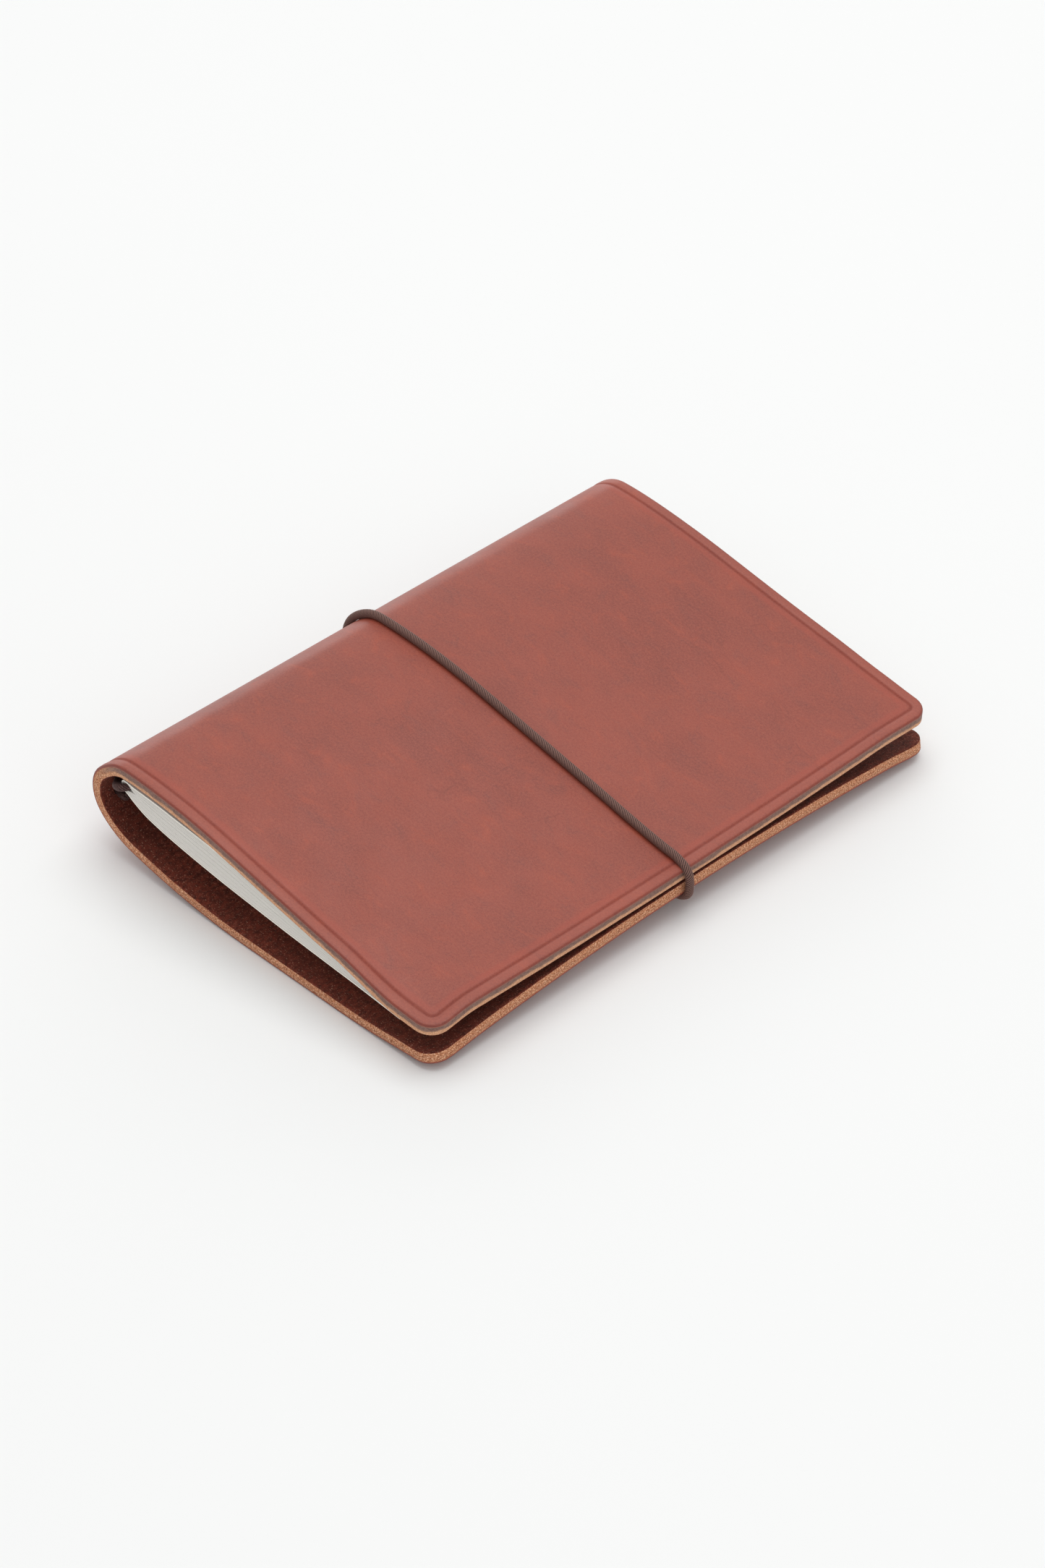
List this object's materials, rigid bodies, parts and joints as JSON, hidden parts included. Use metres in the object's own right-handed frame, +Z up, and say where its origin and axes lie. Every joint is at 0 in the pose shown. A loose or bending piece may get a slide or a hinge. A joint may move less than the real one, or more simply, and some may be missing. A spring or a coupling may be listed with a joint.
{
  "type": "leather notebook cover",
  "caption": "Thick leather fold-over cover for a pocket booklet, held shut by an elastic cord; the booklet hangs on a second cord along the fold.",
  "frame": {"origin": "middle of the base of the bounding box, on the surface the closed cover lies on", "axes": "+X from the spine to the fore-edge, +Y from the tail to the head, +Z up out of the front leaf"},
  "size_m": [0.1038, 0.144, 0.0273],
  "materials": {
    "leather": "satin vegetable-tanned grain, burnished cut edges, suede flesh side",
    "cord": "fine diagonal braid over elastic",
    "card": "matt uncoated",
    "paper": "matt, page edges trimmed",
    "staple_steel": "bright wire"
  },
  "bodies": {
    "back": {"back_leaf": "leather", "closure_cord": "cord", "closure_knot": "cord", "booklet_card_back": "card", "section_back_1": "paper", "section_back_2": "paper", "section_back_3": "paper", "staples": "staple_steel"},
    "spine": {"spine_strip": "leather", "refill_cord": "cord", "refill_knots": "cord"},
    "front": {"front_leaf": "leather"},
    "booklet_front": {"booklet_card_front": "card", "section_front_1": "paper", "section_front_2": "paper", "section_front_3": "paper"}
  },
  "joints": [
    {"name": "spine_fold", "type": "hinge", "parent": "back", "child": "spine", "pos_m": [-0.04814, 0, 0.00937], "axis": [0, -1, 0], "range_deg": [0, 95.5], "deforming": ["closure_cord", "refill_cord"]},
    {"name": "front_fold", "type": "hinge", "parent": "spine", "child": "front", "pos_m": [-0.04673, 0, 0.02282], "axis": [0, -1, 0], "range_deg": [0, 95.5]},
    {"name": "booklet_fold", "type": "hinge", "parent": "back", "child": "booklet_front", "pos_m": [-0.0416, 0, 0.0204], "axis": [0, -1, 0], "range_deg": [0, 194]}
  ],
  "couplings": [
    {"joint": "front_fold", "follows": "spine_fold", "ratio": 1},
    {"joint": "booklet_fold", "follows": "spine_fold", "ratio": 2.0314}
  ]
}
